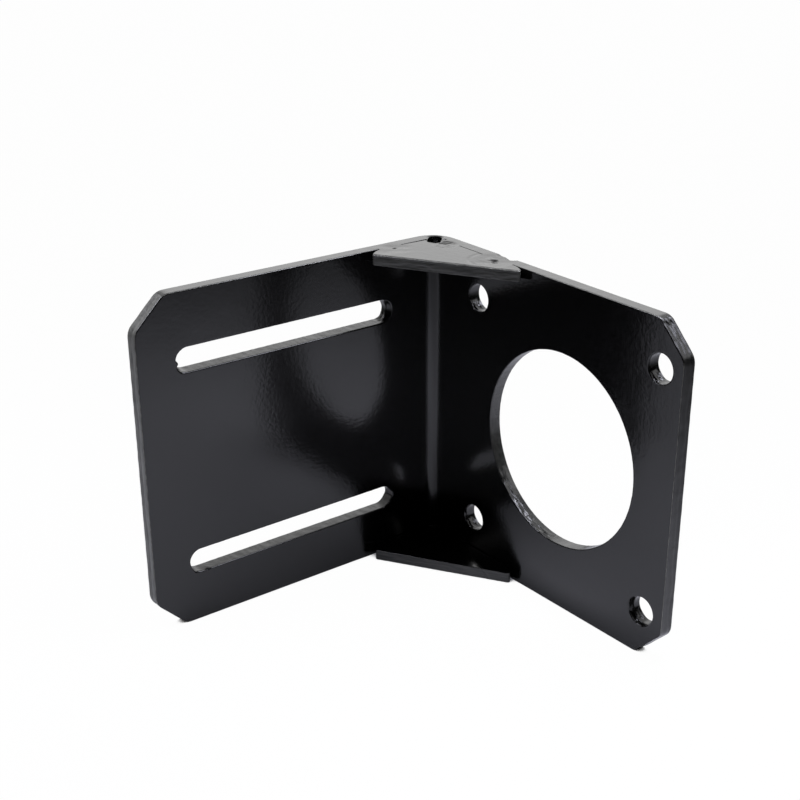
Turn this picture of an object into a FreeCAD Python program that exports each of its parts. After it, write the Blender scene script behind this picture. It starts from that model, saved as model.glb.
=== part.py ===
import FreeCAD, Part
import math
import os

# Motor mounting bracket, in millimetres.
# One steel sheet is folded to an L: a slotted plate that bolts to a frame and a motor plate with a pilot
# hole and four screw holes. Two triangular gussets are set flush into the ends of the corner, each held
# by three flush welds on its seams, and a small relief hole is drilled through each welded corner.
#
# The origin is the centre of the pilot hole on the face where the motor seats. The motor leaves along -X,
# the slotted plate lies towards +Y, and +Z runs up along the fold. The bracket is the same above and
# below the plane z = 0.

# Sheet
wall = 2.6                      # folded sheet, with its paint
bend_inner_radius = 2.5
edge_round = 0.25               # broken edges under the paint

# Folded plate, each length measured from the outside of the fold
height = 65.0
slotted_plate_length = 68.0
motor_plate_length = 68.3
corner_cut = 6.0                # 45 degree cuts on the four free corners
corner_cut_round = 3.0

# Motor seat: the square and the pilot of a motor with a 57 mm frame
pilot_diameter = 38.5
pilot_height_above_base = 39.45  # pilot axis to the slotted plate's outer face
screw_square = 47.14
screw_hole_diameter = 5.5

# Slots in the slotted plate
slot_length = 46.8
slot_width = 4.6
slot_pitch = 40.0
slot_end_margin = 7.6           # free edge to the slot's near end

# Gussets: legs measured from the inner corner to where leg and front edge would meet
gusset_wall = 2.2
gusset_slotted_leg = 18.0
gusset_motor_leg = 29.0
gusset_tip_radius = 3.0         # the leg edges curve away from the plates before the tips
gusset_slotted_tip = 2.0        # how far the leg edge has left its plate at the tip
gusset_motor_tip = 1.4
gusset_tip_corner_round = 0.5
seam_gap = 0.12                 # clearance between a gusset and the plates

# Relief hole through each welded corner: an obround on the fold's bisector
relief_width = 2.7
relief_length = 4.7
relief_outer_wall = 0.5         # sheet left between the hole and the outside of the fold

# Welds, centred on the seams and flush with the ends of the bracket
weld_depth = 1.2
weld_root_round = 0.8
slotted_weld_length = 5.4
slotted_weld_width = 2.8
slotted_weld_from_tip = 6.8     # end of the gusset's leg to the weld's middle
motor_weld_length = 8.6
motor_weld_from_tip = 10.5
corner_weld_length = 5.2
corner_weld_distance = 4.9      # inner corner to the weld's middle, along the motor plate
motor_weld_margin = 0.45        # sheet left between a weld on the motor plate and its outer face

# Cutters run this far past the faces that they cut
overrun = 1.0

# Faces that meet at less than this angle, in degrees, count as one smooth face
smooth_angle = 20.0

# Places that follow from the sizes
bend_outer_radius = bend_inner_radius + wall
motor_weld_width = 2 * (wall - motor_weld_margin)
end_z = height / 2
base_y = pilot_height_above_base
seam_y = base_y - wall
slotted_free_x = wall - slotted_plate_length
motor_free_y = base_y - motor_plate_length
fold_x = -bend_inner_radius
fold_y = seam_y - bend_inner_radius


def rounded_outline(corners):
    """Closed wire in the XY plane through (x, y, radius) corners, each rounded by its radius."""
    stops = []
    for index, (x, y, radius) in enumerate(corners):
        here = FreeCAD.Vector(x, y, 0)
        before = FreeCAD.Vector(*corners[index - 1][:2], 0) - here
        after = FreeCAD.Vector(*corners[(index + 1) % len(corners)][:2], 0) - here
        before.normalize()
        after.normalize()
        half = before.getAngle(after) / 2
        reach = radius / math.tan(half)
        middle = (before + after).normalize() * (radius / math.sin(half) - radius)
        stops.append((here + before * reach, here + middle, here + after * reach, radius))
    edges = []
    for index, (start, middle, end, radius) in enumerate(stops):
        if radius:
            edges.append(Part.Arc(start, middle, end).toShape())
        edges.append(Part.LineSegment(end, stops[(index + 1) % len(stops)][0]).toShape())
    return Part.Wire(edges)


def obround(length, width, depth):
    """Prism of a slot's outline, centred on the origin, its length along X, rising from z = 0."""
    radius = width / 2
    straight = length / 2 - radius
    low_left = FreeCAD.Vector(-straight, -radius, 0)
    low_right = FreeCAD.Vector(straight, -radius, 0)
    high_right = FreeCAD.Vector(straight, radius, 0)
    high_left = FreeCAD.Vector(-straight, radius, 0)
    outline = Part.Wire([
        Part.LineSegment(low_left, low_right).toShape(),
        Part.Arc(low_right, FreeCAD.Vector(length / 2, 0, 0), high_right).toShape(),
        Part.LineSegment(high_right, high_left).toShape(),
        Part.Arc(high_left, FreeCAD.Vector(-length / 2, 0, 0), low_left).toShape(),
    ])
    return Part.Face(outline).extrude(FreeCAD.Vector(0, 0, depth))


def placed(shape, position, axis, degrees):
    """Copy of a shape turned about an axis through the origin and moved to a position."""
    copy = shape.copy()
    copy.Placement = FreeCAD.Placement(position, FreeCAD.Rotation(axis, degrees))
    return copy


def sharp_edges(shape):
    """Edges where two faces meet at an angle, and not smoothly."""
    found = []
    for edge in shape.Edges:
        middle = edge.valueAt((edge.FirstParameter + edge.LastParameter) / 2)
        normals = []
        for face in shape.ancestorsOfType(edge, Part.Face):
            normals.append(face.normalAt(*face.Surface.parameter(middle)))
        if len(normals) == 2 and normals[0].getAngle(normals[1]) > math.radians(smooth_angle):
            found.append(edge)
    return found


def plate_outline(free, far):
    """Outline of one plate: height up Y, free edge at x = free with cut corners, square end at x = far."""
    inward = math.copysign(corner_cut, far - free)
    return rounded_outline([
        (free + inward, -end_z, corner_cut_round),
        (free, corner_cut - end_z, corner_cut_round),
        (free, end_z - corner_cut, corner_cut_round),
        (free + inward, end_z, corner_cut_round),
        (far, end_z, 0),
        (far, -end_z, 0),
    ])


def folded_blank():
    """The L of sheet with its fold, its cut corners and its broken edges, before any hole."""
    section = rounded_outline([
        (slotted_free_x, base_y, 0),
        (wall, base_y, bend_outer_radius),
        (wall, motor_free_y, 0),
        (0, motor_free_y, 0),
        (0, seam_y, bend_inner_radius),
        (slotted_free_x, seam_y, 0),
    ])
    sheet = Part.Face(section).extrude(FreeCAD.Vector(0, 0, height))
    sheet.translate(FreeCAD.Vector(0, 0, -end_z))
    across_y = base_y - motor_free_y + 2 * overrun
    across_x = wall - slotted_free_x + 2 * overrun
    slotted_side = Part.Face(plate_outline(slotted_free_x, wall + overrun))
    slotted_side = slotted_side.extrude(FreeCAD.Vector(0, 0, across_y))
    slotted_side = placed(slotted_side, FreeCAD.Vector(0, base_y + overrun, 0), FreeCAD.Vector(1, 0, 0), 90)
    motor_side = Part.Face(plate_outline(motor_free_y, base_y + overrun))
    motor_side = motor_side.extrude(FreeCAD.Vector(0, 0, across_x))
    # a third of a turn about the diagonal takes X to Y, Y to Z and Z to X
    motor_side = placed(motor_side, FreeCAD.Vector(slotted_free_x - overrun, 0, 0),
                        FreeCAD.Vector(1, 1, 1), 120)
    blank = sheet.common(slotted_side).common(motor_side).removeSplitter()
    return blank.makeFillet(edge_round, sharp_edges(blank))


def motor_holes():
    """Cutters for the pilot hole and the four screw holes, through the motor plate."""
    start_x = -overrun
    depth = wall + 2 * overrun
    along = FreeCAD.Vector(1, 0, 0)
    cutters = [Part.makeCylinder(pilot_diameter / 2, depth, FreeCAD.Vector(start_x, 0, 0), along)]
    for side_y in (-1, 1):
        for side_z in (-1, 1):
            place = FreeCAD.Vector(start_x, side_y * screw_square / 2, side_z * screw_square / 2)
            cutters.append(Part.makeCylinder(screw_hole_diameter / 2, depth, place, along))
    return cutters


def base_slots():
    """Cutters for the two slots, through the slotted plate."""
    centre_x = slotted_free_x + slot_end_margin + slot_length / 2
    cutter = obround(slot_length, slot_width, wall + 2 * overrun)
    cutters = []
    for side_z in (-1, 1):
        place = FreeCAD.Vector(centre_x, base_y + overrun, side_z * slot_pitch / 2)
        cutters.append(placed(cutter, place, FreeCAD.Vector(1, 0, 0), 90))
    return cutters


def weld(distance, length, width, along_motor_plate):
    """One weld nugget at the upper end, with a rounded root, bridging a seam."""
    nugget = obround(length, width, weld_depth)
    roots = [edge for edge in nugget.Edges if edge.BoundBox.ZMax < weld_depth / 2]
    nugget = nugget.makeFillet(weld_root_round, roots)
    low_z = end_z - weld_depth
    if along_motor_plate:
        return placed(nugget, FreeCAD.Vector(0, seam_y - distance, low_z), FreeCAD.Vector(0, 0, 1), 90)
    return placed(nugget, FreeCAD.Vector(-distance, seam_y, low_z), FreeCAD.Vector(0, 0, 1), 0)


def relief_cutter():
    """Cutter for the relief hole of the upper corner, through the gusset and as deep into the fold."""
    outside = bend_outer_radius - relief_outer_wall
    from_fold_centre = outside - relief_length / 2
    place = FreeCAD.Vector(fold_x + from_fold_centre * math.cos(math.pi / 4),
                           fold_y + from_fold_centre * math.sin(math.pi / 4), end_z - gusset_wall)
    return placed(obround(relief_length, relief_width, gusset_wall + overrun), place,
                  FreeCAD.Vector(0, 0, 1), 45)


def gusset_tip(radius, drop):
    """Reach along the leg and point halfway round of the arc that leaves a leg edge by a drop."""
    turn = math.acos(1 - drop / radius)
    reach = radius * math.sin(turn)
    half_reach = radius * math.sin(turn / 2)
    half_drop = radius * (1 - math.cos(turn / 2))
    return reach, half_reach, half_drop


def gusset():
    """The upper gusset: a triangle whose leg edges curve away from the plates before the tips."""
    corner_x = -seam_gap
    corner_y = seam_y - seam_gap
    slope = gusset_motor_leg / gusset_slotted_leg
    slotted_reach, slotted_half, slotted_fall = gusset_tip(gusset_tip_radius, gusset_slotted_tip)
    motor_reach, motor_half, motor_fall = gusset_tip(gusset_tip_radius, gusset_motor_tip)
    slotted_tip = FreeCAD.Vector(-gusset_slotted_leg + gusset_slotted_tip / slope,
                                 corner_y - gusset_slotted_tip, 0)
    motor_tip = FreeCAD.Vector(corner_x - gusset_motor_tip,
                               seam_y - gusset_motor_leg + gusset_motor_tip * slope, 0)
    corner_radius = bend_inner_radius - seam_gap
    corner_start = FreeCAD.Vector(corner_x, fold_y, 0)
    corner_middle = FreeCAD.Vector(fold_x + corner_radius * math.cos(math.pi / 4),
                                   fold_y + corner_radius * math.sin(math.pi / 4), 0)
    corner_end = FreeCAD.Vector(fold_x, corner_y, 0)
    slotted_start = slotted_tip + FreeCAD.Vector(slotted_reach, gusset_slotted_tip, 0)
    slotted_middle = slotted_start - FreeCAD.Vector(slotted_half, slotted_fall, 0)
    motor_start = motor_tip + FreeCAD.Vector(gusset_motor_tip, motor_reach, 0)
    motor_middle = motor_start - FreeCAD.Vector(motor_fall, motor_half, 0)
    outline = Part.Wire([
        Part.Arc(corner_start, corner_middle, corner_end).toShape(),
        Part.LineSegment(corner_end, slotted_start).toShape(),
        Part.Arc(slotted_start, slotted_middle, slotted_tip).toShape(),
        Part.LineSegment(slotted_tip, motor_tip).toShape(),
        Part.Arc(motor_tip, motor_middle, motor_start).toShape(),
        Part.LineSegment(motor_start, corner_start).toShape(),
    ])
    plate = Part.Face(outline).extrude(FreeCAD.Vector(0, 0, gusset_wall))
    plate.translate(FreeCAD.Vector(0, 0, end_z - gusset_wall))
    upright = [edge for edge in sharp_edges(plate) if edge.BoundBox.ZLength > gusset_wall / 2]
    plate = plate.makeFillet(gusset_tip_corner_round, upright)
    level = [edge for edge in sharp_edges(plate) if edge.BoundBox.ZLength < gusset_wall / 2]
    return plate.makeFillet(edge_round, level)


def mirrored(shape):
    """The same shape at the lower end."""
    return shape.mirror(FreeCAD.Vector(0, 0, 0), FreeCAD.Vector(0, 0, 1))


def upper_welds():
    """The three weld nuggets of the upper gusset, by name, with the relief hole drilled past them."""
    relief = relief_cutter()
    slotted_distance = gusset_slotted_leg - slotted_weld_from_tip
    motor_distance = gusset_motor_leg - motor_weld_from_tip
    corner_weld = weld(corner_weld_distance, corner_weld_length, motor_weld_width, True)
    return {
        "slotted_side_weld": weld(slotted_distance, slotted_weld_length, slotted_weld_width, False),
        "motor_side_weld": weld(motor_distance, motor_weld_length, motor_weld_width, True),
        "corner_weld": corner_weld.cut(relief),
    }


def bracket():
    """Every piece of the bracket, by node name."""
    relief = relief_cutter()
    welds = upper_welds()
    upper_gusset = gusset().cut(relief).cut(Part.makeCompound(list(welds.values())))
    upper_pockets = [relief] + list(welds.values())
    pockets = upper_pockets + [mirrored(pocket) for pocket in upper_pockets]
    folded_plate = folded_blank()
    for cutter in motor_holes() + base_slots() + pockets:
        folded_plate = folded_plate.cut(cutter)
    pieces = {
        "folded_plate": folded_plate,
        "upper_gusset": upper_gusset,
        "lower_gusset": mirrored(upper_gusset),
    }
    for name, nugget in welds.items():
        pieces["upper_" + name] = nugget
        pieces["lower_" + name] = mirrored(nugget)
    return pieces


os.makedirs("parts", exist_ok=True)
for node, piece in bracket().items():
    solid = piece.Solids[0]
    solid.exportStep("parts/" + node + ".step")
    print(node, "solids", len(piece.Solids), "valid", solid.isValid(), "volume", round(solid.Volume, 2))
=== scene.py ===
import math

import bmesh
import bpy
import numpy as np
from mathutils import Matrix
from mathutils.geometry import delaunay_2d_cdt


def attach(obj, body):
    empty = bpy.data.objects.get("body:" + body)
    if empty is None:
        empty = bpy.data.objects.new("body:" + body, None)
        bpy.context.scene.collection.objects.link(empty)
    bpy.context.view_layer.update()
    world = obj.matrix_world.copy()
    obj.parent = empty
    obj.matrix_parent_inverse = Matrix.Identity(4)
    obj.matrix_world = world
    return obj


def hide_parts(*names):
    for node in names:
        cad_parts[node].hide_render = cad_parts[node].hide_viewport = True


# Motor mounting bracket in gloss black paint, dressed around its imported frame.
# Lengths are in millimetres up to the moment when a mesh is made, and then in metres. The frame is the
# part's own: origin at the pilot hole's centre on the motor plate's inner face, +X through that plate away
# from the motor, +Y towards the slotted plate, +Z up the fold.
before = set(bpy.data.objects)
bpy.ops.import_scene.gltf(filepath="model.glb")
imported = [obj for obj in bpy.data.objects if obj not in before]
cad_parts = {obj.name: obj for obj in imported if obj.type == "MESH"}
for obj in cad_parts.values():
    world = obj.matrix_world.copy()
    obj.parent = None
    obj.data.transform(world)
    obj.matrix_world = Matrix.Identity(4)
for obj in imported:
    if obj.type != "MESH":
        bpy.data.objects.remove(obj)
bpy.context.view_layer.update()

MM = 0.001

# Sheet and fold
WALL = 2.6
BEND_INNER = 2.5
EDGE_ROUND = 0.18
HALF_HEIGHT = 32.5
BASE_Y = 39.45
SEAM_Y = BASE_Y - WALL
FOLD_X = -BEND_INNER
FOLD_Y = SEAM_Y - BEND_INNER
SLOTTED_FLAT = 62.9             # slotted plate, from the fold to its free edge
MOTOR_FLAT = 63.2               # motor plate, the same way
FOLD_SPAN = math.pi / 2 * (BEND_INNER + WALL / 2)
CORNER_CUT = 6.0
CORNER_ROUND = 3.0

# Holes
PILOT_RADIUS = 19.25
SCREW_RADIUS = 2.75
SCREW_HALF_SQUARE = 23.57
SLOT_LENGTH = 46.8
SLOT_WIDTH = 4.6
SLOT_CENTRE_X = -34.4
SLOT_Z = 20.0
SLOT_DROP = 0.15                # both slots stand this much lower than that
SLOT_TILT = 0.0026              # and rise this much towards the fold
SLOT_TAPER = {1: (-0.08, 0.16), -1: (-0.12, 0.0)}   # how far the lower wall stands in, inside and out
PILOT_S = FOLD_SPAN + FOLD_Y     # the pilot's centre in the flat sheet
SLOT_S = SLOT_CENTRE_X - FOLD_X  # the slots' middle in it

# Gussets
GUSSET_WALL = 2.2
GUSSET_SLOTTED_LEG = 18.0
GUSSET_MOTOR_LEG = 29.0
GUSSET_SLOPE = GUSSET_MOTOR_LEG / GUSSET_SLOTTED_LEG
TIP_RADIUS = 6.0                # the edges by the tips curve away from the plates
SLOTTED_TIP_DROP = 2.0
MOTOR_TIP_DROP = 1.4
TIP_CORNER_ROUND = 0.5
SEAM_GAP = 0.12
SEAM_ROUND = 0.08               # edge left along the seams, where the paint runs in
FRONT_ROUND = 0.34              # upper rim of the gusset's front edge
LOWER_ROUND = 0.16              # and the gusset's lower rim

# Relief hole, an obround on the fold's bisector
RELIEF_LENGTH = 4.7
RELIEF_WIDTH = 2.7
RELIEF_OUTER_WALL = 0.5
RELIEF_FROM_FOLD = BEND_INNER + WALL - RELIEF_OUTER_WALL - RELIEF_LENGTH / 2
RELIEF_X = FOLD_X + RELIEF_FROM_FOLD * math.cos(math.pi / 4)
RELIEF_Y = FOLD_Y + RELIEF_FROM_FOLD * math.sin(math.pi / 4)

# Mesh density
ARC_ROWS = 4                    # steps over an edge's rounding
WALL_ROWS = 12                  # rows down the plate's walls
GUSSET_WALL_ROWS = 14           # and down the gusset's
GUARD = 0.12                    # ring of flat surface kept beside each rounding
FOLD_STEPS = 24
FINE = 0.25                     # distance between outline points where detail is near
COARSE = 0.5                    # and elsewhere
FINE_ENDS = (-22.0, FOLD_SPAN + 30.0)   # stretch of the flat sheet whose ends have fine points
PLATE_GRID = 2.4                # pitch of the points in the plate's faces
PLATE_MARGIN = 1.1              # and how far they stay from its walls
FOLD_MARGIN = 0.8               # and from the fold
GUSSET_GRIDS = (1.2, 0.28)      # the same for the gusset's lower and upper face
GUSSET_MARGIN = 0.5


def ripples(places, wavelength, seed):
    """Smooth field of about unit height over places, the same at each run."""
    chance = np.random.default_rng(seed)
    waves = 28
    directions = chance.normal(size=(waves, places.shape[-1]))
    directions /= np.linalg.norm(directions, axis=1, keepdims=True)
    counts = 2 * math.pi / (wavelength * chance.uniform(0.7, 1.6, waves))
    phases = chance.uniform(0, 2 * math.pi, waves)
    return np.sin(places @ (directions * counts[:, None]).T + phases).sum(-1) * math.sqrt(2 / waves)


def smooth(value, low, high):
    """0 below low, 1 above high, and an S-curve between."""
    t = np.clip((value - low) / (high - low), 0, 1)
    return t * t * (3 - 2 * t)


def outline(corners, spacing):
    """Points and outward normals round a closed counter-clockwise outline of (u, v, radius) corners."""
    stops = []
    for index, (u, v, radius) in enumerate(corners):
        here = np.array((u, v), float)
        before = np.array(corners[index - 1][:2], float) - here
        after = np.array(corners[(index + 1) % len(corners)][:2], float) - here
        before /= np.linalg.norm(before)
        after /= np.linalg.norm(after)
        if not radius:
            stops.append((here, here, None, 0))
            continue
        half = math.acos(np.clip(before @ after, -1, 1)) / 2
        convex = before[0] * after[1] - before[1] * after[0] < 0
        inward = (before + after) / np.linalg.norm(before + after)
        centre = here + inward * radius / math.sin(half)
        reach = radius / math.tan(half)
        stops.append((here + before * reach, here + after * reach, centre, 1 if convex else -1))
    points, normals = [], []
    for index, (start, end, centre, side) in enumerate(stops):
        following = stops[(index + 1) % len(stops)][0]
        along = following - end
        length = np.linalg.norm(along)
        normal = np.array((along[1], -along[0])) / length
        if side:
            first, last = start - centre, end - centre
            turn = math.atan2(first[0] * last[1] - first[1] * last[0], first @ last)
            radius = np.linalg.norm(first)
            steps = max(4, math.ceil(abs(turn) * radius / spacing(*start)), math.ceil(abs(turn) / 0.2))
            for step in range(steps + 1):
                a = turn * step / steps
                spoke = np.array((first[0] * math.cos(a) - first[1] * math.sin(a),
                                  first[0] * math.sin(a) + first[1] * math.cos(a)))
                points.append(centre + spoke)
                normals.append(side * spoke / radius)
        else:
            points.append(start)
            normals.append(normal)
        steps = max(1, math.ceil(length / spacing(*((end + following) / 2)) - 1e-6))
        for step in range(1, steps):
            points.append(end + along * step / steps)
            normals.append(normal)
    return np.array(points), np.array(normals)


def ring(u, v, radius, spacing):
    """Points and normals of a round hole's wall; the normals point into the hole, out of the metal."""
    count = math.ceil(2 * math.pi * radius / spacing)
    a = -np.linspace(0, 2 * math.pi, count, endpoint=False)
    spokes = np.stack([np.cos(a), np.sin(a)], 1)
    return np.array((u, v)) + spokes * radius, -spokes


def arc(centre, radius, first, last, spacing):
    """Points and outward normals along a counter-clockwise arc, its angles in radians."""
    steps = max(3, math.ceil((last - first) * radius / spacing))
    a = np.linspace(first, last, steps + 1)
    spokes = np.stack([np.cos(a), np.sin(a)], 1)
    return np.array(centre) + spokes * radius, spokes


def straight(start, end, spacing):
    """Points strictly between the ends of a line and their normals, to the right of its direction."""
    start, end = np.array(start, float), np.array(end, float)
    along = end - start
    length = np.linalg.norm(along)
    share = np.linspace(0, 1, max(1, math.ceil(length / spacing)) + 1)[1:-1]
    normal = np.array((along[1], -along[0])) / length
    return start + share[:, None] * along, np.repeat(normal[None], len(share), 0)


def chain(parts):
    """Points and normals of the parts of a closed outline, one after the other."""
    return np.concatenate([part[0] for part in parts]), np.concatenate([part[1] for part in parts])


def obround(u, v, length, width, spacing):
    """Points and outward normals of an obround along u, counter-clockwise."""
    half, radius = (length - width) / 2, width / 2
    quarter = math.pi / 2
    fine = min(spacing, radius * 0.12)
    return chain([
        arc((u + half, v), radius, -quarter, quarter, fine),
        straight((u + half, v + radius), (u - half, v + radius), spacing),
        arc((u - half, v), radius, quarter, 3 * quarter, fine),
        straight((u - half, v - radius), (u + half, v - radius), spacing),
    ])


def reversed_loop(points, normals):
    """The same loop as the wall of a hole: run the other way, with its normals out of the metal."""
    return points[::-1], -normals[::-1]


def profile(thickness, low_round, high_round, wall_rows):
    """Inset and height of each row over a wall with rounded edges; the radii are arrays over the loop."""
    a = np.linspace(0, math.pi / 2, ARC_ROWS + 1)
    low = low_round[:, None]
    high = high_round[:, None]
    share = np.linspace(0, 1, wall_rows + 2)[1:-1]
    upright = low + (thickness - high - low) * share
    inset = np.concatenate([low + GUARD, low * (1 - np.sin(a)), 0 * upright,
                            high * (1 - np.sin(a[::-1])), high + GUARD], 1)
    level = np.concatenate([0 * low, low * (1 - np.cos(a)), upright,
                            thickness - high * (1 - np.cos(a[::-1])), thickness + 0 * high], 1)
    return inset, level


def inside(points, loop):
    """Which of the points lie inside the closed loop."""
    x, y = points[:, 0][:, None], points[:, 1][:, None]
    x0, y0 = loop[:, 0][None], loop[:, 1][None]
    x1, y1 = np.roll(loop[:, 0], -1)[None], np.roll(loop[:, 1], -1)[None]
    crosses = (y0 > y) != (y1 > y)
    at = x0 + (y - y0) * (x1 - x0) / np.where(y1 == y0, 1e-12, y1 - y0)
    return (crosses & (x < at)).sum(1) % 2 == 1


def fill(loops, lines, loose):
    """Triangles between an outer loop and the loops of its holes, through lines and loose points.

    loops are arrays of points. lines are (first index, middle points, last index), the indices counted
    over all the loops. Returns the added points and the triangles over loops and added points."""
    base = np.concatenate(loops)
    edges = []
    start = 0
    for loop in loops:
        count = len(loop)
        edges += [(start + i, start + (i + 1) % count) for i in range(count)]
        start += count
    added = [np.zeros((0, 2))]
    for first, middle, last in lines:
        run = [first] + list(range(start, start + len(middle))) + [last]
        edges += list(zip(run[:-1], run[1:]))
        added.append(middle)
        start += len(middle)
    added.append(loose)
    added = np.concatenate(added)
    flat = [tuple(map(float, p)) for p in np.concatenate([base, added])]
    made = delaunay_2d_cdt(flat, edges, [], 0, 1e-7)
    spots = np.array([tuple(p) for p in made[0]])
    triangles = np.array(made[2])
    origin = np.array([ids[0] if ids else -1 for ids in made[3]])
    middle = spots[triangles].mean(1)
    keep = inside(middle, loops[0])
    for hole in loops[1:]:
        keep &= ~inside(middle, hole)
    triangles = origin[triangles[keep]]
    if (triangles < 0).any():
        raise RuntimeError("the outline crosses itself")
    return added, triangles


def slab(loops, thickness, loose, lines=()):
    """Vertices (u, v, w) and faces of a plate with rounded edges.

    Each loop is (points, normals, low radii, high radii, wall rows, offset), the first one the outline and
    the others holes. offset(points, w) moves the wall along its normal. loose gives points inside each of
    the two faces. The triangles of both follow lines, which are (first index, middle points, last index)
    over the loops' points."""
    vertices, faces, starts = [], [], []
    total = 0
    for points, normals, low, high, wall_rows, offset in loops:
        inset, level = profile(thickness, low, high, wall_rows)
        rows = inset.shape[1]
        at = points[:, None] - normals[:, None] * inset[..., None]
        at = at + normals[:, None] * offset(points, level)[..., None]
        vertices.append(np.concatenate([at, level[..., None]], 2).reshape(-1, 3))
        i = np.arange(len(points))[:, None]
        j = np.arange(rows - 1)[None]
        following = (i + 1) % len(points)
        quads = np.stack([i * rows + j, following * rows + j, following * rows + j + 1, i * rows + j + 1], -1)
        faces.append(quads.reshape(-1, 4) + total)
        starts.append((total, len(points), rows))
        total += len(points) * rows
    placed = np.concatenate(vertices)
    quads = [tuple(q) for q in np.concatenate(faces)]
    triangles = []
    extra = []
    for side in (0, 1):
        rims = [start + np.arange(count) * rows + (rows - 1) * side for start, count, rows in starts]
        added, found = fill([placed[rim, :2] for rim in rims], lines, loose[side])
        lookup = np.concatenate(rims + [total + np.arange(len(added))])
        extra.append(np.concatenate([added, np.full((len(added), 1), thickness * side)], 1))
        total += len(added)
        triangles += [tuple(t if side else t[::-1]) for t in lookup[found]]
    return np.concatenate([placed] + extra), quads + triangles


def grid_points(low, high, pitch, keep):
    """Points of a staggered grid over a rectangle, where keep(points) says so."""
    u = np.arange(low[0], high[0], pitch)
    v = np.arange(low[1], high[1], pitch)
    uu, vv = np.meshgrid(u, v)
    uu = uu + (np.arange(len(v)) % 2)[:, None] * pitch / 2
    points = np.stack([uu.ravel(), vv.ravel()], 1)
    return points[keep(points)]


def clear_of(loops, distance):
    """A test that points lie in the metal, at least a distance from every loop."""
    def keep(points):
        good = inside(points, loops[0])
        for hole in loops[1:]:
            good &= ~inside(points, hole)
        for loop in loops:
            gap = np.full(len(points), 1e9)
            for part in np.array_split(loop, max(1, len(loop) // 200)):
                gap = np.minimum(gap, np.linalg.norm(points[:, None] - part[None], axis=2).min(1))
            good &= gap > distance
        return good
    return keep


def linked(name, data):
    """A new object for the data, in the scene."""
    thing = bpy.data.objects.new(name, data)
    bpy.context.scene.collection.objects.link(thing)
    return thing


def mesh_object(name, points, faces):
    """A mesh object from points in millimetres."""
    mesh = bpy.data.meshes.new(name)
    mesh.from_pydata([tuple(p) for p in np.asarray(points) * MM], [], [tuple(map(int, f)) for f in faces])
    work = bmesh.new()
    work.from_mesh(mesh)
    bmesh.ops.recalc_face_normals(work, faces=work.faces)
    work.to_mesh(mesh)
    work.free()
    return linked(name, mesh)


def bowl(x, y, centre, radii, degrees, depth, power=1.5):
    """Depth of a shallow elliptic dish, zero at and beyond its rim."""
    a = math.radians(degrees)
    dx, dy = x - centre[0], y - centre[1]
    along = (dx * math.cos(a) + dy * math.sin(a)) / radii[0]
    across = (-dx * math.sin(a) + dy * math.cos(a)) / radii[1]
    return depth * np.clip(1 - along ** 2 - across ** 2, 0, None) ** power


def relief_distance(x, y):
    """Offsets of (x, y) from the relief hole's middle line, along the fold's bisector and across it."""
    c = math.cos(math.pi / 4)
    along = (x - RELIEF_X) * c + (y - RELIEF_Y) * c
    across = (y - RELIEF_Y) * c - (x - RELIEF_X) * c
    half = (RELIEF_LENGTH - RELIEF_WIDTH) / 2
    return np.abs(along).clip(half) - half, across


def near_weld(x, y):
    """1 over the two welds next to the gusset's tips and 0 well away from them."""
    slotted = np.hypot(x + 12.4, y - 34.8)
    motor = np.hypot(x + 1.8, y - 17.6)
    return 1 - smooth(np.minimum(slotted, motor), 2.4, 5.6)


SINK_DEPTH = 1.7                # how far down the metal follows the sunk end


def end_surface(x, y):
    """How far the upper end face is sunk at (x, y): the weld puddles and the melted edge."""
    sunk = np.zeros_like(x)
    # Weld by the slotted plate: a soft puddle that runs to the gusset's tip, with a small crater
    sunk += bowl(x, y, (-11.6, 35.6), (3.9, 2.7), 10, 0.05, 1.0)
    sunk += bowl(x, y, (-11.0, 35.5), (0.55, 0.45), 0, 0.12)
    sunk += bowl(x, y, (-13.6, 34.0), (2.6, 1.2), 35, 0.03)
    # Weld by the motor plate: a wide puddle that runs out to the gusset's front edge, with a crater and
    # an arc where it stopped, and the melted outer edge of the plate
    sunk += bowl(x, y, (-1.9, 18.3), (4.5, 4.7), 25, 0.07, 1.0)
    sunk += 0.05 * np.exp(-((np.hypot(x + 1.0, y - 18.6) - 4.4) / 0.3) ** 2) * (x < -0.2) * (y > 17)
    sunk += bowl(x, y, (-1.2, 17.8), (1.3, 0.9), 60, 0.34)
    sunk -= bowl(x, y, (-0.9, 19.4), (1.4, 0.6), 40, 0.10)
    sunk += bowl(x, y, (2.5, 17.3), (1.3, 1.7), 0, 0.55)
    sunk += bowl(x, y, (2.3, 19.5), (1.2, 1.5), 0, 0.22)
    # Weld beside the corner: a dish with a pinhole at its end
    sunk += bowl(x, y, (-1.6, 31.9), (2.5, 2.6), 15, 0.30, 1.3)
    sunk += bowl(x, y, (0.52, 34.5), (0.36, 0.30), 0, 0.9)
    # The relief hole's rim is rounded over
    past_hole = np.hypot(*relief_distance(x, y)) - RELIEF_WIDTH / 2
    sunk += 0.16 * (1 - smooth(past_hole, 0.0, 0.45)) ** 2
    # Solidification ripples in the puddles, and slow waves where the heat ran
    places = np.stack([x, y], -1)
    sunk += 0.014 * smooth(sunk, 0.02, 0.15) * ripples(places, 1.1, 5)
    sunk += 0.014 * near_weld(x, y) * (1 + ripples(places, 3.2, 6))
    return np.maximum(sunk, 0)


def sink_ends(points):
    """Moves points near the two ends by end_surface, less and less down to SINK_DEPTH."""
    for side in (1, -1):
        depth = HALF_HEIGHT - side * points[:, 2]
        share = 1 - smooth(depth, 0.05, SINK_DEPTH)
        near = share > 0
        moved = end_surface(points[near, 0], points[near, 1])
        points[near, 2] -= side * moved * share[near]
    return points


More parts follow.
